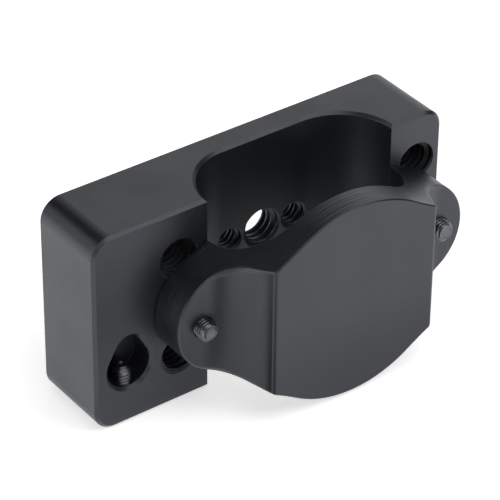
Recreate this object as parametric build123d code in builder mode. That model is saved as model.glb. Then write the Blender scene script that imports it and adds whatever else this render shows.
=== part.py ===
"""A two-piece clamp mounting block for a flat-oval post.

A rectangular block with a half-oval pocket takes a loose clamp cap, which two captive screws draw
onto the block's front face. Frame: origin on the axis of the oval passage, in the parting plane
between block and cap, at mid height. +Z is up along the post, -Y points out of the cap, +X right.
All sizes are in millimetres.
"""
from build123d import *

import os
from math import acos, atan2, cos, hypot, radians, sin

# ---------------------------------------------------------------- driving dimensions
# oval passage, half in the block and half in the cap
passage_width = 50.0
passage_depth = 28.0
rim_chamfer = 0.7

# block, measured outward from the passage and from the threads beside it
block_height = 50.0
back_wall = 6.5               # behind the pocket
right_margin = 7.0            # from the right threads' middle to the end
left_margin = 22.0            # the same on the left, where the teardrop socket is
corner_radius = 5.0
edge_chamfer = 0.7

# standard unified threads, by major radius
large_thread_radius = 4.7625  # 3/8 inch
small_thread_radius = 3.175   # 1/4 inch
thread_lead_in = 0.25

# threaded holes beside the pocket and through its back wall
side_wall = 7.5               # from the passage to the middle of the holes beside it
face_hole_spacing_z = 25.4
pocket_hole_web = 0.86        # metal left between the holes in the back wall

# teardrop socket in the front face, and the set screw that comes up into it
socket_from_end = 9.0         # from the block's left end to the socket's middle
socket_top_radius = 3.3
socket_bottom_radius = 5.5
socket_bottom_height = 14.6   # from the block's underside to the lower circle's centre
socket_rise = 4.6             # from the lower circle's centre to the upper one
socket_depth = 6.5
socket_chamfer = 0.7
set_screw_radius = 2.083      # number 8
set_screw_length = 12.7
set_screw_from_face = 3.2
set_screw_recess = 0.7        # below the block's underside
set_screw_hex = 1.98
set_screw_hex_depth = 2.0

# clamp cap
ear_thickness = 9.05
ear_radius = 13.1
ear_inset = 6.6               # from the screw's axis in to the ear's centre
cap_below_top = 0.6           # the arch's top, below the block's top
cap_arch_radius = 28.5
cap_blend_radius = 80.0
cap_wall = 6.4                # in front of the passage
cap_face_inset = 4.0          # from the passage's end in to the front face's edge
cap_flank_angle = 64.0
cap_flank_corner = 1.2
cap_flank_foot = 9.0
cap_edge = 0.3

# clamp screws, in line with the large threads
clamp_screw_radius = 2.413    # number 10
clamp_head_radius = 3.96
clamp_head_height = 4.83
clamp_hex = 3.97
clamp_hex_depth = 2.4
counterbore_depth = 6.8
screw_standout = 2.65         # tip in front of the ear
tip_chamfer = 0.55

# clearances
thread_clearance = 0.2
head_clearance = 0.3
hole_clearance = 0.25

# ---------------------------------------------------------------- derived places
half_height = block_height / 2
passage_radius = passage_depth / 2
screw_x = passage_width / 2 + side_wall
hole_spacing_x = 2 * screw_x
pocket_hole_spacing = 2 * (large_thread_radius + small_thread_radius + pocket_hole_web)
block_depth = passage_radius + back_wall
block_left = -screw_x - left_margin
block_right = screw_x + right_margin
block_length = block_right - block_left
block_middle = (block_left + block_right) / 2
socket_x = block_left + socket_from_end
socket_z = socket_bottom_height - half_height
cap_depth = passage_radius + cap_wall
cap_arch_height = half_height - cap_below_top
ear_centre = screw_x - ear_inset
seat_y = block_depth - counterbore_depth
screw_tip_y = -(ear_thickness + screw_standout)
clamp_screw_length = seat_y - screw_tip_y
set_screw_low_z = set_screw_recess - half_height

front = Plane.XZ
pocket_floor = Plane.XZ.offset(-passage_radius)
back = Plane(origin=(0, block_depth, 0), x_dir=(1, 0, 0), z_dir=(0, 1, 0))
underside = Plane(origin=(0, 0, -half_height), x_dir=(1, 0, 0), z_dir=(0, 0, -1))


def at_level(shapes, axis, value):
    """The shapes whose centre lies at this value along an axis."""
    return shapes.filter_by_position(axis, value - 0.01, value + 0.01)


# ---------------------------------------------------------------- block
with BuildPart() as block:
    with BuildSketch(front):
        with Locations((block_middle, 0)):
            RectangleRounded(block_length, block_height, corner_radius)
    extrude(amount=-block_depth)
    rims = at_level(block.edges(), Axis.Y, 0) + at_level(block.edges(), Axis.Y, block_depth)
    chamfer(rims, edge_chamfer)

    # the pocket: the back half of the oval passage, open at the front
    with BuildSketch(Plane.XY.offset(-half_height)):
        SlotOverall(passage_width, passage_depth)
    extrude(amount=block_height, mode=Mode.SUBTRACT)
    pocket_edges = block.edges().filter_by_position(Axis.X, -passage_width / 2, passage_width / 2)
    pocket_edges = pocket_edges.filter_by_position(Axis.Y, edge_chamfer + 0.1, passage_radius)
    pocket_rims = at_level(pocket_edges, Axis.Z, half_height) + at_level(pocket_edges, Axis.Z, -half_height)
    chamfer(pocket_rims, rim_chamfer)

    # four large threads through the block, beside the pocket
    with Locations(front):
        with GridLocations(hole_spacing_x, face_hole_spacing_z, 2, 2):
            CounterSinkHole(large_thread_radius, large_thread_radius + thread_lead_in, block_depth)
    with Locations(back):
        with GridLocations(hole_spacing_x, face_hole_spacing_z, 2, 2):
            CounterSinkHole(large_thread_radius, large_thread_radius + thread_lead_in, block_depth)

    # one large and two small threads through the pocket's back wall
    for plane in (pocket_floor, back):
        with Locations(plane):
            CounterSinkHole(large_thread_radius, large_thread_radius + thread_lead_in, back_wall)
        with Locations(plane):
            with GridLocations(pocket_hole_spacing, 1, 2, 1):
                CounterSinkHole(small_thread_radius, small_thread_radius + thread_lead_in, back_wall)

    # clearance holes and counterbores for the clamp screws
    with Locations(back):
        with GridLocations(hole_spacing_x, 1, 2, 1):
            CounterBoreHole(
                clamp_screw_radius + hole_clearance,
                clamp_head_radius + head_clearance,
                counterbore_depth,
                block_depth,
            )

    # teardrop socket, and the set screw's hole up into it
    with BuildSketch(front):
        with Locations((socket_x, socket_z)):
            Circle(socket_bottom_radius)
        with Locations((socket_x, socket_z + socket_rise)):
            Circle(socket_top_radius)
        make_hull()
    extrude(amount=-socket_depth, mode=Mode.SUBTRACT)
    socket_rim = at_level(block.edges(), Axis.Y, 0)
    socket_reach = socket_bottom_radius + 0.1
    socket_rim = socket_rim.filter_by_position(Axis.X, socket_x - socket_reach, socket_x + socket_reach)
    socket_rim = socket_rim.filter_by_position(Axis.Z, -half_height + corner_radius, half_height - corner_radius)
    chamfer(socket_rim, socket_chamfer)
    with Locations(underside):
        with Locations((socket_x, -set_screw_from_face)):
            Hole(set_screw_radius + thread_clearance, socket_bottom_height)
block.part.label = "block"


# ---------------------------------------------------------------- clamp cap
def blend_points(arch_centre, arch_radius, ear_middle, ear_end_radius, blend_radius):
    """Where a hollow arc of the blend radius touches the arch and the ear, and its lowest point."""
    reach_x = ear_middle[0] - arch_centre[0]
    reach_z = ear_middle[1] - arch_centre[1]
    gap = hypot(reach_x, reach_z)
    from_arch = arch_radius + blend_radius
    from_ear = ear_end_radius + blend_radius
    opening = acos((from_arch**2 + gap**2 - from_ear**2) / (2 * from_arch * gap))
    heading = atan2(reach_z, reach_x) + opening
    centre = (arch_centre[0] + from_arch * cos(heading), arch_centre[1] + from_arch * sin(heading))
    on_arch = (
        arch_centre[0] + arch_radius * cos(heading),
        arch_centre[1] + arch_radius * sin(heading),
    )
    toward_ear = atan2(centre[1] - ear_middle[1], centre[0] - ear_middle[0])
    on_ear = (
        ear_middle[0] + ear_end_radius * cos(toward_ear),
        ear_middle[1] + ear_end_radius * sin(toward_ear),
    )
    return on_arch, on_ear


arch_centre = (0, cap_arch_height - cap_arch_radius)
ear_middle = (ear_centre, 0)
on_arch, on_ear = blend_points(arch_centre, cap_arch_radius, ear_middle, ear_radius, cap_blend_radius)
ear_end = (ear_centre + ear_radius, 0)

# half of the plan, from the middle of the front face out to the ear's end
flank = radians(cap_flank_angle)
face_end_x = passage_width / 2 - cap_face_inset
ear_y = -ear_thickness
cap_front_y = -cap_depth
flank_rise = cap_depth - ear_thickness
corner_x = face_end_x + cap_flank_corner * sin(flank)
corner_y = cap_front_y + cap_flank_corner * (1 - cos(flank))
foot_drop = cap_flank_foot * (1 - cos(flank))
foot_y = ear_y - foot_drop
foot_x = corner_x + (foot_y - corner_y) / (sin(flank) / cos(flank))
flat_start_x = foot_x + cap_flank_foot * sin(flank)

with BuildPart() as clamp_cap:
    # plan, drawn once and mirrored
    with BuildSketch(Plane.XY.offset(-cap_arch_height)):
        with BuildLine():
            Line((0, cap_front_y), (face_end_x, cap_front_y))
            JernArc((face_end_x, cap_front_y), (1, 0), cap_flank_corner, cap_flank_angle)
            Line((corner_x, corner_y), (foot_x, foot_y))
            JernArc((foot_x, foot_y), (cos(flank), sin(flank)), cap_flank_foot, -cap_flank_angle)
            Line((flat_start_x, ear_y), (ear_end[0], ear_y))
            Line((ear_end[0], ear_y), (ear_end[0], 0))
            Line((ear_end[0], 0), (0, 0))
            mirror(about=Plane.YZ)
        make_face()
    extrude(amount=2 * cap_arch_height)

    # front view: a wide arch that runs down into two rounded ears
    with BuildSketch(front):
        with BuildLine():
            RadiusArc((0, cap_arch_height), on_arch, cap_arch_radius)
            RadiusArc(on_arch, on_ear, -cap_blend_radius)
            RadiusArc(on_ear, ear_end, ear_radius)
            mirror(about=Plane.YZ)
            mirror(about=Plane.XZ)
        make_face()
    extrude(amount=cap_depth, mode=Mode.INTERSECT)
    cap_edges = clamp_cap.edges()
    outline = cap_edges - cap_edges.filter_by(Axis.Z) - cap_edges.filter_by(Axis.Y)
    chamfer(outline, cap_edge)

    # the front half of the oval passage
    with BuildSketch(Plane.XY.offset(-cap_arch_height)):
        SlotOverall(passage_width, passage_depth)
    extrude(amount=2 * cap_arch_height, mode=Mode.SUBTRACT)

    # threaded holes in the ears
    with Locations(front.offset(ear_thickness)):
        with GridLocations(hole_spacing_x, 1, 2, 1):
            Hole(clamp_screw_radius + thread_clearance, ear_thickness)
clamp_cap.part.label = "clamp_cap"


# ---------------------------------------------------------------- screws
def clamp_screw(x):
    """A socket head screw, its head in the back of the block and its tip out of the cap's ear."""
    with BuildPart() as screw:
        with BuildSketch(Plane.XZ.offset(-seat_y)):
            with Locations((x, 0)):
                Circle(clamp_screw_radius)
        extrude(amount=clamp_screw_length)
        chamfer(screw.edges().sort_by(Axis.Y)[0], tip_chamfer)
        with BuildSketch(Plane.XZ.offset(-seat_y)):
            with Locations((x, 0)):
                Circle(clamp_head_radius)
        extrude(amount=-clamp_head_height)
        with BuildSketch(Plane.XZ.offset(-seat_y - clamp_head_height)):
            with Locations((x, 0)):
                RegularPolygon(clamp_hex / 2, 6, major_radius=False)
        extrude(amount=clamp_hex_depth, mode=Mode.SUBTRACT)
    return screw.part


with BuildPart() as set_screw:
    with BuildSketch(Plane.XY.offset(set_screw_low_z)):
        with Locations((socket_x, set_screw_from_face)):
            Circle(set_screw_radius)
    extrude(amount=set_screw_length)
    chamfer(set_screw.edges().sort_by(Axis.Z)[-1], tip_chamfer)
    with BuildSketch(Plane.XY.offset(set_screw_low_z)):
        with Locations((socket_x, set_screw_from_face)):
            RegularPolygon(set_screw_hex / 2, 6, major_radius=False)
    extrude(amount=set_screw_hex_depth, mode=Mode.SUBTRACT)
set_screw.part.label = "set_screw"

left_clamp_screw = clamp_screw(-screw_x)
left_clamp_screw.label = "left_clamp_screw"
right_clamp_screw = clamp_screw(screw_x)
right_clamp_screw.label = "right_clamp_screw"

# ---------------------------------------------------------------- export
os.makedirs("parts", exist_ok=True)
export_step(block.part, "parts/block.step")
export_step(clamp_cap.part, "parts/clamp_cap.step")
export_step(left_clamp_screw, "parts/left_clamp_screw.step")
export_step(right_clamp_screw, "parts/right_clamp_screw.step")
export_step(set_screw.part, "parts/set_screw.step")
print("clamp screw length", round(clamp_screw_length, 2), "cap depth", round(cap_depth, 2))
print("flat part of the ear starts at x", round(flat_start_x, 2))
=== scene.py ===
# %% [markdown]
# # A two-piece clamp mounting block
# A black anodised aluminium block grips a flat-oval post between its half-oval pocket and a loose
# clamp cap. Two captive screws draw the cap on, and a set screw holds a peg in the teardrop socket.
# The design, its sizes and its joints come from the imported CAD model. This script dresses that
# model: finishes, real screw threads, light and camera. Everything is in metres, +Z up.

# %% Load the CAD model
from math import cos, pi, radians, sin

import bmesh
import bpy
from mathutils import Matrix, Quaternion, Vector


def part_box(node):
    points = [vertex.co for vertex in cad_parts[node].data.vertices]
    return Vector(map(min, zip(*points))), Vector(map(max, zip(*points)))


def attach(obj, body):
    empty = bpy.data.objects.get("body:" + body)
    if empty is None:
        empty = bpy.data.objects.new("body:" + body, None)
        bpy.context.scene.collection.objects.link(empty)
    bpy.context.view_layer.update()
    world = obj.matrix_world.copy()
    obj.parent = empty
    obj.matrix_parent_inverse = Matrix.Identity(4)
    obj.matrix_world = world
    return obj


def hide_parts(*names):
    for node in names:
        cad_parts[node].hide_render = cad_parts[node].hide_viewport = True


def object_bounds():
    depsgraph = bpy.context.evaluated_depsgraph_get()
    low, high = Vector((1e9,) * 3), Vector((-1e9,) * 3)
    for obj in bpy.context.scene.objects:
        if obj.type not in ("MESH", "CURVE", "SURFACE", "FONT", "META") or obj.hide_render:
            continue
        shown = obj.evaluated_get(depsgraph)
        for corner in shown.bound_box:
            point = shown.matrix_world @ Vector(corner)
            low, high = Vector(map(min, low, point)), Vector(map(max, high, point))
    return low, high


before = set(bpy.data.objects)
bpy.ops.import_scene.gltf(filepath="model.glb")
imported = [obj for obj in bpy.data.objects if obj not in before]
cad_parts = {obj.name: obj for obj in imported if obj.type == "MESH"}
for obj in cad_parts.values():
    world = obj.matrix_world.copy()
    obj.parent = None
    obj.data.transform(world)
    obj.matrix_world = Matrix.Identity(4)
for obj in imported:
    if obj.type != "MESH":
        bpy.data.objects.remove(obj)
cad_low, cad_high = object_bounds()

MM = 0.001
scene = bpy.context.scene
print("CAD box", [round(v / MM, 2) for v in (*cad_low, *cad_high)], "mm")

# %% [markdown]
# ## Camera
# A product picture is taken from far away with a long lens, so that edges that are parallel on the
# part stay nearly parallel in the picture. The camera looks down from the upper left front.
# Azimuth and elevation turn the line of sight, and a small roll levels the part.

# %% Camera
camera_place = Vector((-315.09, -404.33, 357.34)) * MM
camera_azimuth = radians(-36.708)
camera_elevation = radians(34.76)
camera_roll = radians(0.655)
lens_length = 203.26  # mm, on a 36 mm wide sensor

backward = Vector(
    (
        sin(camera_azimuth) * cos(camera_elevation),
        -cos(camera_azimuth) * cos(camera_elevation),
        sin(camera_elevation),
    )
)
camera = bpy.data.objects.new("camera", bpy.data.cameras.new("camera"))
scene.collection.objects.link(camera)
scene.camera = camera
camera.location = camera_place
camera.rotation_mode = "QUATERNION"
camera.rotation_quaternion = (-backward).to_track_quat("-Z", "Y") @ Quaternion((0, 0, 1), camera_roll)
camera.data.sensor_width = 36
camera.data.lens = lens_length
camera.data.clip_start = 10 * MM
camera.data.clip_end = 10
print("camera", round(camera_place.length / MM), "mm from the passage's middle")

# %% [markdown]
# ## A small helper for node materials
# Every finish below is a chain of nodes, so one helper adds a node and fills its inputs. An input
# that is given another node's output becomes a link, and any other input is a number on the socket.
# Inputs without a name of their own, as on a Math node, are given by place: _0, _1 and _2.

# %% Node helper
def add_node(tree, kind, settings=None, **inputs):
    """A new node. Settings are its own properties, and inputs are numbers or other nodes' outputs."""
    node = tree.nodes.new(kind)
    for name, value in (settings or {}).items():
        setattr(node, name, value)
    for name, value in inputs.items():
        key = int(name[1:]) if name[0] == "_" and name[1:].isdigit() else name.replace("_", " ")
        socket = node.inputs[key]
        if isinstance(value, bpy.types.NodeSocket):
            tree.links.new(value, socket)
        else:
            socket.default_value = value
    return node


def calculate(tree, operation, *values):
    """A Math node's output."""
    inputs = {f"_{place}": value for place, value in enumerate(values)}
    return add_node(tree, "ShaderNodeMath", {"operation": operation}, **inputs).outputs[0]


def between(tree, value, low, high, at_low=0.0, at_high=1.0):
    """Turns low..high into at_low..at_high, smoothly and held at both ends."""
    node = add_node(tree, "ShaderNodeMapRange", {"interpolation_type": "SMOOTHSTEP"})
    tree.links.new(value, node.inputs["Value"])
    for name, number in zip(("From Min", "From Max", "To Min", "To Max"), (low, high, at_low, at_high)):
        node.inputs[name].default_value = number
    return node.outputs["Result"]


def blank_material(name):
    """An empty node material, its shader and its object coordinates."""
    material = bpy.data.materials.new(name)
    material.use_nodes = True
    tree = material.node_tree
    place = tree.nodes.new("ShaderNodeTexCoord").outputs["Object"]
    return material, tree, tree.nodes["Principled BSDF"], place


# %% [markdown]
# ## Studio
# Black satin metal has hardly any colour of its own: what the eye sees is the room mirrored in it.
# So the room is built first. It is dark, with a few broad softboxes far away, and each one is a
# soft-edged disc on the world's sphere: where a direction comes near the disc's middle, the sky is
# bright. The dark gaps between them keep the hollows black and draw the curves of the cap. Only the
# metal sees that room. Past the floor's end the picture shows a plain pale backdrop instead.

# %% Softboxes
scene.view_settings.view_transform = "Standard"
SOFTBOXES = (
    # azimuth, elevation, reach in degrees, strength
    (20, 68, 36, 1.9),  # overhead, a little to the front
    (-104, 12, 32, 1.8),  # low on the left
    (-138, 28, 16, 1.0),  # small, behind on the left, a stripe down the block's round corner
    (125, 8, 36, 0.8),  # low on the right, behind
    (152, 27, 24, 0.75),  # behind, which the top face mirrors
    (42, 41, 18, 1.6),  # high in front, for the chamfers along the top
    (-36, 26, 14, 2.0),  # small, beside the camera, for the rims that face it
)
softbox_core = 0.4  # the share of a softbox's reach that is fully bright
room_light = 0.02
below_floor_light = 0.5  # the floor hides it from everything above
horizon_low, horizon_high = -0.06, -0.02
backdrop_light = 1.0


def toward(azimuth, elevation):
    """The direction at this azimuth, 0 in front and 90 on the right, and this elevation, in degrees."""
    turn, lift = radians(azimuth), radians(elevation)
    return Vector((sin(turn) * cos(lift), -cos(turn) * cos(lift), sin(lift)))


world = bpy.data.worlds.new("softbox_room")
scene.world = world
world.use_nodes = True
room = world.node_tree
sky = room.nodes["Background"]
heading = add_node(room, "ShaderNodeVectorMath", {"operation": "NORMALIZE"})
room.links.new(room.nodes.new("ShaderNodeTexCoord").outputs["Generated"], heading.inputs[0])
brightness = room_light
for azimuth, elevation, reach, strength in SOFTBOXES:
    nearness = add_node(room, "ShaderNodeVectorMath", {"operation": "DOT_PRODUCT"})
    room.links.new(heading.outputs["Vector"], nearness.inputs[0])
    nearness.inputs[1].default_value = toward(azimuth, elevation)
    edge, core = cos(radians(reach)), cos(radians(softbox_core * reach))
    disc = between(room, nearness.outputs["Value"], edge, core, 0.0, strength)
    brightness = calculate(room, "ADD", disc, brightness)
height = add_node(room, "ShaderNodeSeparateXYZ", Vector=heading.outputs["Vector"]).outputs["Z"]
from_below = between(room, height, horizon_low, horizon_high, below_floor_light, 0.0)
brightness = calculate(room, "ADD", brightness, from_below)
shown = add_node(room, "ShaderNodeMix", {"data_type": "FLOAT"})
room.links.new(room.nodes.new("ShaderNodeLightPath").outputs["Is Camera Ray"], shown.inputs["Factor"])
room.links.new(brightness, shown.inputs["A"])
shown.inputs["B"].default_value = backdrop_light
room.links.new(shown.outputs["Result"], sky.inputs["Strength"])
sky.inputs["Color"].default_value = (1, 1, 1, 1)
print(len(SOFTBOXES), "softboxes")

# %% [markdown]
# The part stands on a light table, a white floor that glows, so its lower faces mirror an even
# white and its shadow stays faint. Two cards lie on the table and only reflections see them. The
# grey one shades the lower half of the front faces, and the black one, a long wedge in front of
# the cap's left corner, draws the dark line that models that corner. The floor is painted on its
# upper side only, so the part's underside can be looked at from below.

# %% Light table and cards
FLOOR = ((-3000, -3000), (3000, -3000), (3000, 3000), (-3000, 3000))
GREY_CARD = ((-62, -1), (-62, -40), (42, -40), (42, -1))
BLACK_CARD = ((-27, -23), (-86, -80), (-46, -104), (-22, -26))
SHEETS = (
    # name, corners and height over the block's underside in millimetres, shade, glow
    ("studio_floor", FLOOR, -0.05, 0.93, 0.6),
    ("grey_card", GREY_CARD, 0.2, 0.6, 0.42),
    ("black_card", BLACK_CARD, 0.3, 0.02, 0.0),
)


def flat_sheet(name, corners, height, shade, glow):
    """A level sheet with its face up, matt grey and faintly glowing."""
    level = cad_low.z + height * MM
    mesh = bpy.data.meshes.new(name)
    mesh.from_pydata([(x * MM, y * MM, level) for x, y in corners], [], [tuple(range(len(corners)))])
    matt, _, sheet_shader, _ = blank_material(name + "_paint")
    sheet_shader.inputs["Base Color"].default_value = (shade, shade, shade, 1)
    sheet_shader.inputs["Roughness"].default_value = 1.0
    sheet_shader.inputs["Emission Color"].default_value = (1, 1, 1, 1)
    sheet_shader.inputs["Emission Strength"].default_value = glow
    mesh.materials.append(matt)
    sheet = bpy.data.objects.new(name, mesh)
    scene.collection.objects.link(sheet)
    return sheet


floor, *cards = [flat_sheet(*sheet) for sheet in SHEETS]
for card in cards:
    card.visible_camera = False
    card.visible_diffuse = False
    card.visible_shadow = False

paint_tree = floor.data.materials[0].node_tree
see_through = paint_tree.nodes.new("ShaderNodeBsdfTransparent")
from_behind = paint_tree.nodes.new("ShaderNodeNewGeometry").outputs["Backfacing"]
one_sided = paint_tree.nodes.new("ShaderNodeMixShader")
paint_tree.links.new(from_behind, one_sided.inputs[0])
paint_tree.links.new(paint_tree.nodes["Principled BSDF"].outputs[0], one_sided.inputs[1])
paint_tree.links.new(see_through.outputs[0], one_sided.inputs[2])
paint_tree.links.new(one_sided.outputs[0], paint_tree.nodes["Material Output"].inputs["Surface"])
print("floor and", len(cards), "cards, under a part whose foot is at", round(cad_low.z / MM, 2), "mm")

# %% [markdown]
# ## Black anodised aluminium
# The parts are milled, blasted to an even matt skin and dyed black. What shows is a satin black with
# a cold grey sheen, a very fine grain, faint clouds where the dye took differently, and edges painted
# a lighter grey: partly wear where the skin is worn thin, partly a painted highlight for the light
# they catch. Real images could give this, but nodes on object coordinates stay sharp at any
# distance and need no unwrapping. The Bevel node finds the edges: where its rounded normal leaves
# the face's own, there is an edge.

# %% Anodised finish
skin_shade = (0.0055, 0.006, 0.007, 1)
# the lighter edge colour, partly wear and partly a painted highlight
worn_and_highlight_shade = (0.15, 0.156, 0.165, 1)
grain_size = 0.3 * MM
grain_depth = 0.022  # mm
cloud_size = 14 * MM
edge_reach = 0.13 * MM
edge_begins, edge_is_full = 0.995, 0.88  # how alike the face's normal and the rounded one are
skin_roughness = 0.4
roughness_spread = 0.03
skin_ior = 1.72
skin_tint = (0.84, 0.9, 1.0, 1)
lump_low, lump_high = 0.3, 0.7  # most of a noise lies between these
wear_and_highlight_low, wear_and_highlight_high, least_wear_and_highlight = 0.35, 0.65, 0.35  # where clouds are thin an edge keeps its skin, with less wear and less painted highlight


def grain_texture(tree, place, size, detail, stretch=None):
    """Noise whose lumps are about this size."""
    if stretch:
        mapped = add_node(tree, "ShaderNodeMapping", {"vector_type": "POINT"}, Vector=place)
        mapped.inputs["Scale"].default_value = stretch
        place = mapped.outputs["Vector"]
    noise = add_node(tree, "ShaderNodeTexNoise", {"noise_dimensions": "3D"}, Vector=place)
    noise.inputs["Scale"].default_value = 1 / size
    noise.inputs["Detail"].default_value = detail
    return noise.outputs["Fac"]


def edge_mask(tree, reach):
    """One on sharp edges, nothing on open faces, and the normal of the edges rounded by reach."""
    rounded = add_node(tree, "ShaderNodeBevel", {"samples": 4}, Radius=reach)
    face = tree.nodes.new("ShaderNodeNewGeometry")
    alike = add_node(tree, "ShaderNodeVectorMath", {"operation": "DOT_PRODUCT"})
    tree.links.new(rounded.outputs["Normal"], alike.inputs[0])
    tree.links.new(face.outputs["Normal"], alike.inputs[1])
    return between(tree, alike.outputs["Value"], edge_begins, edge_is_full), rounded.outputs["Normal"]


def anodised_finish(name, relief=None, reach=None):
    """Satin black dyed aluminium. A piece may add its own marks to the relief, and its own rounding."""
    material, tree, shader, place = blank_material(name)
    grain = grain_texture(tree, place, grain_size, 2)
    clouds = grain_texture(tree, place, cloud_size, 3)
    edges, rounded_normal = edge_mask(tree, reach(tree, place) if reach else edge_reach)
    # edge colour: partly wear, partly a painted highlight, and thinner where the clouds are thin
    wear_and_highlight = calculate(tree, "MULTIPLY", edges, between(tree, clouds, wear_and_highlight_low, wear_and_highlight_high, least_wear_and_highlight, 1.0))
    shade = add_node(tree, "ShaderNodeMix", {"data_type": "RGBA"})
    tree.links.new(wear_and_highlight, shade.inputs["Factor"])
    shade.inputs["A"].default_value = skin_shade
    shade.inputs["B"].default_value = worn_and_highlight_shade
    tree.links.new(shade.outputs["Result"], shader.inputs["Base Color"])
    least, most = skin_roughness - roughness_spread, skin_roughness + roughness_spread
    dull = between(tree, clouds, lump_low, lump_high, least, most)
    speckle = between(tree, grain, lump_low, lump_high, -roughness_spread, roughness_spread)
    tree.links.new(calculate(tree, "ADD", dull, speckle), shader.inputs["Roughness"])
    height = calculate(tree, "MULTIPLY", grain, grain_depth)
    if relief:
        height = calculate(tree, "ADD", height, relief(tree, place))
    bump = add_node(tree, "ShaderNodeBump", Height=height, Normal=rounded_normal)
    bump.inputs["Strength"].default_value = 1.0
    bump.inputs["Distance"].default_value = MM
    tree.links.new(bump.outputs["Normal"], shader.inputs["Normal"])
    shader.inputs["IOR"].default_value = skin_ior
    shader.inputs["Specular Tint"].default_value = skin_tint
    return material


# %% [markdown]
# The cap's outline was linished: a belt ran along the arch, and left fine streaks that follow it.
# They are noise that is stretched along X and Z and packed tight across Y, kept to the faces that
# the belt touched. The belt also broke the front edge of each flank more than the others, and
# rolled the flank over a little before its corner. A Bevel node whose radius depends on the place
# gives the first, and a height that falls away toward the corner gives the second. The wide rim
# also widens the lighter edge colour into a strip of painted highlight along each flank.

# %% Block and cap finishes
streak_depth = 0.048  # mm
FINE_STREAKS = (0.1, 2.9, 0.1)
COARSE_STREAKS = (0.05, 1.3, 0.05)
coarse_share = 2.0
outline_limit = 0.3  # a face that points less along Y than this is part of the outline
corner_crown = 0.5  # mm, for each square mm past where the crown begins
crown_start = 23.5 * MM
crown_end = 22.1 * MM
flank_slant = 0.4  # a flank points more along X than this
flank_lean = 0.15  # and less along Z than this
flank_rounding = 1.6 * MM
rim_begins, rim_is_full = 22.0 * MM, 25.0 * MM  # outward from the middle
rim_fades, rim_ends = 28.0 * MM, 36.0 * MM
rim_front, rim_back = -9.0 * MM, -8.2 * MM


def faced(tree):
    """How far the face points along X, Y and Z, whichever way."""
    normal = tree.nodes.new("ShaderNodeNewGeometry").outputs["True Normal"]
    size = add_node(tree, "ShaderNodeVectorMath", {"operation": "ABSOLUTE"})
    tree.links.new(normal, size.inputs[0])
    return add_node(tree, "ShaderNodeSeparateXYZ", Vector=size.outputs["Vector"]).outputs


def belt_streaks(tree, place):
    """Height in millimetres of the fine lines that a linishing belt leaves along the outline."""
    fine = grain_texture(tree, place, MM, 1, stretch=FINE_STREAKS)
    coarse = grain_texture(tree, place, MM, 2, stretch=COARSE_STREAKS)
    both = calculate(tree, "MULTIPLY_ADD", coarse, coarse_share, fine)
    height = calculate(tree, "MULTIPLY", both, streak_depth)
    on_outline = calculate(tree, "LESS_THAN", faced(tree)["Y"], outline_limit)
    return calculate(tree, "MULTIPLY", height, on_outline)


def flank_crown(tree, place):
    """Height in millimetres of the flank, which rolls over a little before its corner."""
    parts = add_node(tree, "ShaderNodeSeparateXYZ", Vector=place).outputs
    aside = calculate(tree, "ABSOLUTE", parts["X"])
    held = calculate(tree, "MINIMUM", calculate(tree, "MAXIMUM", aside, crown_end), crown_start)
    fall = calculate(tree, "DIVIDE", calculate(tree, "SUBTRACT", crown_start, held), MM)
    drop = calculate(tree, "MULTIPLY", calculate(tree, "MULTIPLY", fall, fall), -corner_crown)
    facing = faced(tree)
    on_flank = calculate(tree, "GREATER_THAN", facing["X"], flank_slant)
    upright = calculate(tree, "LESS_THAN", facing["Z"], flank_lean)
    return calculate(tree, "MULTIPLY", calculate(tree, "MULTIPLY", on_flank, upright), drop)


def cap_relief(tree, place):
    """The cap's own marks: belt streaks, and the crown of its flanks."""
    return calculate(tree, "ADD", belt_streaks(tree, place), flank_crown(tree, place))


def cap_rounding(tree, place):
    """How far each edge of the cap is rounded, and how wide its painted edge highlight is: widest along the
    flank's rim.
    """
    parts = add_node(tree, "ShaderNodeSeparateXYZ", Vector=place).outputs
    aside = calculate(tree, "ABSOLUTE", parts["X"])
    past_corner = between(tree, aside, rim_begins, rim_is_full)
    before_tip = between(tree, aside, rim_fades, rim_ends, 1.0, 0.0)
    in_front = between(tree, parts["Y"], rim_front, rim_back, 1.0, 0.0)
    on_rim = calculate(tree, "MULTIPLY", calculate(tree, "MULTIPLY", past_corner, before_tip), in_front)
    # the same width spreads the lighter edge colour, a painted highlight, over the flank's rim
    return calculate(tree, "MULTIPLY_ADD", on_rim, flank_rounding, edge_reach)


block_finish = anodised_finish("block_anodising")
cap_finish = anodised_finish("cap_anodising", cap_relief, cap_rounding)


def paint(node_object, material):
    """One finish on the whole piece."""
    node_object.data.materials.clear()
    node_object.data.materials.append(material)


paint(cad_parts["block"], block_finish)
paint(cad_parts["clamp_cap"], cap_finish)
print("painted", block_finish.name, "and", cap_finish.name)

# %% [markdown]
# ## Screw threads
# Seven holes in the block are tapped and every screw is threaded, which the CAD model leaves out
# because a thread is slow to build as a solid. A thread is one small shape that follows a helix, so
# it is a job for Geometry Nodes: a spiral curve carries a trapezoid, wide at its root and narrow at
# its crest, and it thins out over the first and last part of a turn. The same tree makes an inside
# thread, whose crest points at the axis, and an outside one, whose crest points away from it.

# %% The thread tree
THREAD_SIZES = ("Root Radius", "Crest Radius", "Pitch", "Length", "Root Width", "Crest Width")
steps_per_turn = 40
taper_turns = 0.3
end_thickness = 0.03  # of the full section


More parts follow.
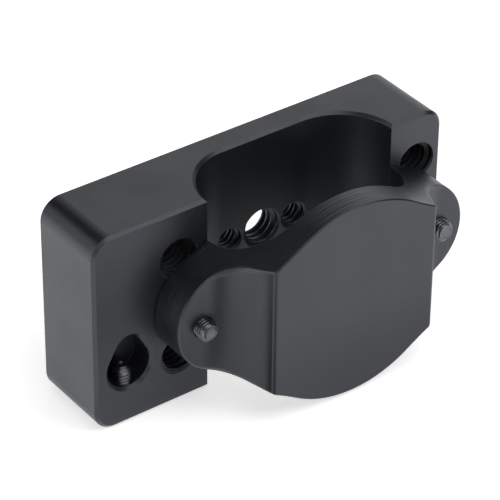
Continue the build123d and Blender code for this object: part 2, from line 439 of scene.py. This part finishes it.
def thread_ridge_tree():
    """The node tree that stands one thread ridge on every point it is given."""
    tree = bpy.data.node_groups.new("thread_ridge", "GeometryNodeTree")
    sockets = tree.interface
    sockets.new_socket("Geometry", in_out="INPUT", socket_type="NodeSocketGeometry")
    for name in THREAD_SIZES:
        sockets.new_socket(name, in_out="INPUT", socket_type="NodeSocketFloat")
    sockets.new_socket("Turned To", in_out="INPUT", socket_type="NodeSocketVector")
    sockets.new_socket("Finish", in_out="INPUT", socket_type="NodeSocketMaterial")
    sockets.new_socket("Geometry", in_out="OUTPUT", socket_type="NodeSocketGeometry")
    given = tree.nodes.new("NodeGroupInput").outputs

    # the path: a right-handed helix at the root, its radius attribute thinning the ends
    turns = calculate(tree, "DIVIDE", given["Length"], given["Pitch"])
    helix = add_node(tree, "GeometryNodeCurveSpiral", Resolution=steps_per_turn, Rotations=turns)
    helix.inputs["Reverse"].default_value = True
    for end in ("Start Radius", "End Radius"):
        tree.links.new(given["Root Radius"], helix.inputs[end])
    tree.links.new(given["Length"], helix.inputs["Height"])
    along = tree.nodes.new("GeometryNodeSplineParameter").outputs["Factor"]
    to_end = calculate(tree, "SUBTRACT", 1.0, along)
    nearest_end = calculate(tree, "MULTIPLY", calculate(tree, "MINIMUM", along, to_end), turns)
    thickness = calculate(tree, "MULTIPLY_ADD", nearest_end, 1 / taper_turns, end_thickness)
    thinned = add_node(tree, "GeometryNodeSetCurveRadius", Curve=helix.outputs["Curve"])
    tree.links.new(calculate(tree, "MINIMUM", thickness, 1.0), thinned.inputs["Radius"])
    upright = add_node(tree, "GeometryNodeSetCurveNormal", {"mode": "Z_UP"})
    tree.links.new(thinned.outputs["Curve"], upright.inputs["Curve"])

    # the section: a trapezoid that lies on the root and points at the crest
    reach = calculate(tree, "SUBTRACT", given["Crest Radius"], given["Root Radius"])
    trapezoid = add_node(tree, "GeometryNodeCurvePrimitiveQuadrilateral", {"mode": "TRAPEZOID"})
    tree.links.new(given["Root Width"], trapezoid.inputs["Bottom Width"])
    tree.links.new(given["Crest Width"], trapezoid.inputs["Top Width"])
    tree.links.new(calculate(tree, "ABSOLUTE", reach), trapezoid.inputs["Height"])
    trapezoid.inputs["Offset"].default_value = 0
    facing = calculate(tree, "MULTIPLY", calculate(tree, "SIGN", reach), -pi / 2)
    shift = calculate(tree, "MULTIPLY", reach, 0.5)
    turned = add_node(tree, "GeometryNodeTransform", Geometry=trapezoid.outputs["Curve"])
    tree.links.new(add_node(tree, "ShaderNodeCombineXYZ", Z=facing).outputs[0], turned.inputs["Rotation"])
    tree.links.new(add_node(tree, "ShaderNodeCombineXYZ", X=shift).outputs[0], turned.inputs["Translation"])

    ridge = add_node(tree, "GeometryNodeCurveToMesh", Curve=upright.outputs["Curve"])
    tree.links.new(turned.outputs["Geometry"], ridge.inputs["Profile Curve"])
    ridge.inputs["Fill Caps"].default_value = True
    tree.links.new(tree.nodes.new("GeometryNodeInputRadius").outputs[0], ridge.inputs["Scale"])
    at_holes = add_node(tree, "GeometryNodeInstanceOnPoints", Points=given["Geometry"])
    tree.links.new(ridge.outputs["Mesh"], at_holes.inputs["Instance"])
    tree.links.new(given["Turned To"], at_holes.inputs["Rotation"])
    real = add_node(tree, "GeometryNodeRealizeInstances", Geometry=at_holes.outputs["Instances"])
    painted = add_node(tree, "GeometryNodeSetMaterial", Geometry=real.outputs["Geometry"])
    tree.links.new(given["Finish"], painted.inputs["Material"])
    result = tree.nodes.new("NodeGroupOutput")
    tree.links.new(painted.outputs["Geometry"], result.inputs["Geometry"])
    return tree


ridge_tree = thread_ridge_tree()
print("thread tree with", len(ridge_tree.nodes), "nodes")

# %% [markdown]
# A modifier keeps its inputs under each socket's identifier, so the sizes are set through a small
# lookup. The evaluated result is copied to a plain mesh, and the object that carried the modifier
# is thrown away.

# %% Cutting a thread
ALONG_Y = (-pi / 2, 0, 0)
ALONG_Z = (0, 0, 0)
same_place = 1e-8
sharp_angle = radians(32)


def cut_threads(starts, sizes, turned_to, finish):
    """The mesh of one thread ridge from each start point, in millimetre sizes."""
    points = bpy.data.meshes.new("thread_starts")
    points.from_pydata([Vector(start) * MM for start in starts], [], [])
    carrier = bpy.data.objects.new("thread_carrier", points)
    scene.collection.objects.link(carrier)
    modifier = carrier.modifiers.new("threads", "NODES")
    modifier.node_group = ridge_tree
    inputs = [item for item in ridge_tree.interface.items_tree if item.in_out == "INPUT"]
    key = {item.name: item.identifier for item in inputs}
    for name, size in zip(THREAD_SIZES, sizes):
        modifier[key[name]] = size * MM
    modifier[key["Turned To"]] = turned_to
    modifier[key["Finish"]] = finish
    bpy.context.view_layer.update()
    evaluated = carrier.evaluated_get(bpy.context.evaluated_depsgraph_get())
    mesh = bpy.data.meshes.new_from_object(evaluated)
    bpy.data.objects.remove(carrier)
    return mesh


def join_meshes(name, meshes, finish):
    """One plain object from several meshes, its shells closed and facing outward."""
    joined = bmesh.new()
    for mesh in meshes:
        joined.from_mesh(mesh)
    bmesh.ops.remove_doubles(joined, verts=joined.verts, dist=same_place)
    bmesh.ops.recalc_face_normals(joined, faces=joined.faces)
    for face in joined.faces:
        face.smooth = True
        face.material_index = 0
    mesh = bpy.data.meshes.new(name)
    joined.to_mesh(mesh)
    joined.free()
    mesh.set_sharp_from_angle(angle=sharp_angle)
    mesh.materials.clear()
    mesh.materials.append(finish)
    piece = bpy.data.objects.new(name, mesh)
    scene.collection.objects.link(piece)
    return piece


# %% [markdown]
# ## Threads in the block
# The large holes take 3/8 inch coarse threads and the two small ones 1/4 inch. The ridge stands on
# the hole's wall, whose radius is the thread's outer one, and reaches in by the depth of thread.

# %% Block threads
# shares of the pitch
inside_depth = 0.54
root_share = 0.88
inside_crest_share = 0.25
outside_crest_share = 0.16
wall_overlap = 0.03  # mm, so that no gap shows under a ridge


def inside_sizes(major_radius, pitch, length):
    """Sizes of an inside thread for the tree, in millimetres."""
    root, crest = major_radius + wall_overlap, major_radius - inside_depth * pitch
    return root, crest, pitch, length, root_share * pitch, inside_crest_share * pitch


def outside_sizes(core_radius, major_radius, pitch, length):
    """The same for an outside thread."""
    root = core_radius - wall_overlap
    return root, major_radius, pitch, length, root_share * pitch, outside_crest_share * pitch


large_major, large_pitch = 4.7625, 1.5875
small_major, small_pitch = 3.175, 1.27
face_hole_x, face_hole_z = 32.5, 12.7
pocket_hole_web = 0.86
pocket_hole_x = large_major + small_major + pocket_hole_web
pocket_floor_y = 14.0
lead_in = 0.3
block_back_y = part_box("block")[1].y / MM
pocket_hole_length = block_back_y - pocket_floor_y - 2 * lead_in
face_threads = cut_threads(
    [(x, lead_in, z) for x in (-face_hole_x, face_hole_x) for z in (-face_hole_z, face_hole_z)],
    inside_sizes(large_major, large_pitch, block_back_y - 2 * lead_in),
    ALONG_Y,
    block_finish,
)
post_thread = cut_threads(
    [(0, pocket_floor_y + lead_in, 0)],
    inside_sizes(large_major, large_pitch, pocket_hole_length),
    ALONG_Y,
    block_finish,
)
pocket_threads = cut_threads(
    [(x, pocket_floor_y + lead_in, 0) for x in (-pocket_hole_x, pocket_hole_x)],
    inside_sizes(small_major, small_pitch, pocket_hole_length),
    ALONG_Y,
    block_finish,
)
block_threads = join_meshes("block_threads", [face_threads, post_thread, pocket_threads], block_finish)
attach(block_threads, "block")
print("block threads", len(block_threads.data.polygons), "faces")

# %% [markdown]
# ## Screw steel
# The screws are alloy steel with a thin black oxide. It rubs off first where the metal is proud, so
# thread crests and rims shine while the flanks stay dark. The same edge finder drives the wear.

# %% Screw finish
oxide_shade = (0.14, 0.145, 0.155, 1)
bright_steel = (0.62, 0.63, 0.65, 1)
thread_edge_reach = 0.09 * MM
smear_size = 1.6 * MM
scratch_size = 0.12 * MM
scratch_depth = 0.02 * MM
scratch_strength = 0.15
polish_low, polish_high, least_polish = 0.35, 0.6, 0.4
smoother, duller = 0.06, 0.08


def steel_finish(name, roughness):
    """Oiled black oxide steel, bright along its edges."""
    material, tree, shader, place = blank_material(name)
    smear = grain_texture(tree, place, smear_size, 3)
    scratches = grain_texture(tree, place, scratch_size, 1)
    edges, rounded_normal = edge_mask(tree, thread_edge_reach)
    polish = between(tree, smear, polish_low, polish_high, least_polish, 1.0)
    worn = calculate(tree, "MULTIPLY", edges, polish)
    shade = add_node(tree, "ShaderNodeMix", {"data_type": "RGBA"})
    tree.links.new(worn, shade.inputs["Factor"])
    shade.inputs["A"].default_value = oxide_shade
    shade.inputs["B"].default_value = bright_steel
    tree.links.new(shade.outputs["Result"], shader.inputs["Base Color"])
    dull = between(tree, smear, lump_low, lump_high, roughness - smoother, roughness + duller)
    tree.links.new(dull, shader.inputs["Roughness"])
    bump = add_node(tree, "ShaderNodeBump", Height=scratches, Normal=rounded_normal)
    bump.inputs["Strength"].default_value = scratch_strength
    bump.inputs["Distance"].default_value = scratch_depth
    tree.links.new(bump.outputs["Normal"], shader.inputs["Normal"])
    shader.inputs["Metallic"].default_value = 1.0
    return material


clamp_steel = steel_finish("oxide_clamp_steel", 0.3)
set_screw_steel = steel_finish("oxide_set_screw_steel", 0.36)

# %% [markdown]
# ## Turned screw bodies
# A screw is turned on a lathe, so its body is a list of rings: how far along the axis, and how wide.
# A ring may be round, a hexagon for the key, or knurled for the grip on the head. The helical ridge
# from the thread tree then stands on the turned core.

# %% Lathe helper
ring_points = 96
knurl_teeth = 48
knurl_depth = 0.12


def ring_radius(kind, size, angle):
    """The distance from the axis at this angle. A hexagon's size is from its middle to a flat."""
    if kind == "hex":
        return size / cos((angle + pi / 6) % (pi / 3) - pi / 6)
    if kind == "knurl":
        return size - knurl_depth * (0.5 + 0.5 * cos(knurl_teeth * angle))
    return size


def turned_mesh(rings, matrix):
    """A closed body from rings of (kind, radius, height) in millimetres. Radius 0 is a pole."""
    body = bmesh.new()
    rows = []
    for kind, size, height in rings:
        if size == 0:
            rows.append([body.verts.new((0, 0, height * MM))])
            continue
        row = []
        for step in range(ring_points):
            angle = 2 * pi * step / ring_points
            out = ring_radius(kind, size, angle) * MM
            row.append(body.verts.new((out * cos(angle), out * sin(angle), height * MM)))
        rows.append(row)
    for low, high in zip(rows, rows[1:]):
        for step in range(ring_points):
            after = (step + 1) % ring_points
            if len(low) == 1:
                body.faces.new((low[0], high[after], high[step]))
            elif len(high) == 1:
                body.faces.new((low[step], low[after], high[0]))
            else:
                body.faces.new((low[step], low[after], high[after], high[step]))
    bmesh.ops.transform(body, matrix=matrix, verts=body.verts)
    mesh = bpy.data.meshes.new("turned_body")
    body.to_mesh(mesh)
    body.free()
    return mesh


# %% [markdown]
# ## Clamp screws
# Two socket head screws, number 10 fine thread, one inch long under the head. The head sits in the
# back of the block and the rolled thread comes out of the cap's ear, where its tip is slightly dished.

# %% Clamp screws
clamp_major, clamp_pitch = 2.413, 0.79375
clamp_core = 1.95
clamp_thread_start, clamp_thread_length = 0.3, 21.9
head_radius = 3.96
CLAMP_RINGS = (
    ("round", 0, 0.22),
    ("round", 1.0, 0.2),
    ("round", 1.5, 0.12),
    ("round", 1.7, 0.0),
    ("round", 1.8, 0.0),
    ("round", clamp_core, 0.2),
    ("round", clamp_core, 21.9),
    ("round", clamp_major, 22.4),
    ("round", clamp_major, 25.4),
    ("round", head_radius - 0.2, 25.4),
    ("knurl", head_radius, 25.6),
    ("knurl", head_radius, 29.3),
    ("round", head_radius - 0.12, 29.55),
    ("round", head_radius - 0.62, 30.23),
    ("round", 2.45, 30.23),
    ("hex", 1.985, 30.0),
    ("hex", 1.985, 27.9),
    ("round", 1.2, 27.75),
    ("round", 0, 27.6),
)
STAND_ON_Y = Matrix.Rotation(-pi / 2, 4, "X")


def clamp_screw(node_name):
    """The detailed screw in place of a CAD one."""
    low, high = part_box(node_name)
    axis = (low + high) / 2
    tip = Vector((axis.x, low.y, axis.z))
    body = turned_mesh(CLAMP_RINGS, Matrix.Translation(tip) @ STAND_ON_Y)
    start = tip / MM + Vector((0, clamp_thread_start, 0))
    sizes = outside_sizes(clamp_core, clamp_major, clamp_pitch, clamp_thread_length)
    thread = cut_threads([start], sizes, ALONG_Y, clamp_steel)
    screw = join_meshes(node_name + "_turned", [body, thread], clamp_steel)
    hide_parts(node_name)
    print(node_name, len(screw.data.polygons), "faces")
    return screw


for node_name, body_name in (("left_clamp_screw", "left_screw"), ("right_clamp_screw", "right_screw")):
    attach(clamp_screw(node_name), body_name)

# %% [markdown]
# ## Set screw
# A headless number 8 screw with a key socket at its lower end and a cup point at its upper end,
# whose sharp rim bites the peg that goes into the teardrop socket.

# %% Set screw
set_major, set_pitch = 2.083, 0.79375
set_core = 1.66
set_thread_start, set_thread_length = 0.25, 11.75
SET_RINGS = (
    ("round", 0, 2.3),
    ("round", 0.6, 2.1),
    ("hex", 0.99, 2.0),
    ("hex", 0.99, 0.12),
    ("round", 1.25, 0.0),
    ("round", 1.45, 0.0),
    ("round", set_core, 0.25),
    ("round", set_core, 12.05),
    ("round", 1.12, 12.7),
    ("round", 1.0, 12.7),
    ("round", 0.45, 12.3),
    ("round", 0, 12.2),
)
set_low, set_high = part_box("set_screw")
set_axis = (set_low + set_high) / 2
set_foot = Vector((set_axis.x, set_axis.y, set_low.z))
set_body = turned_mesh(SET_RINGS, Matrix.Translation(set_foot))
set_start = set_foot / MM + Vector((0, 0, set_thread_start))
set_sizes = outside_sizes(set_core, set_major, set_pitch, set_thread_length)
set_thread = cut_threads([set_start], set_sizes, ALONG_Z, set_screw_steel)
set_screw = join_meshes("set_screw_turned", [set_body, set_thread], set_screw_steel)
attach(set_screw, "set_screw")
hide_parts("set_screw")
print("set screw", len(set_screw.data.polygons), "faces")
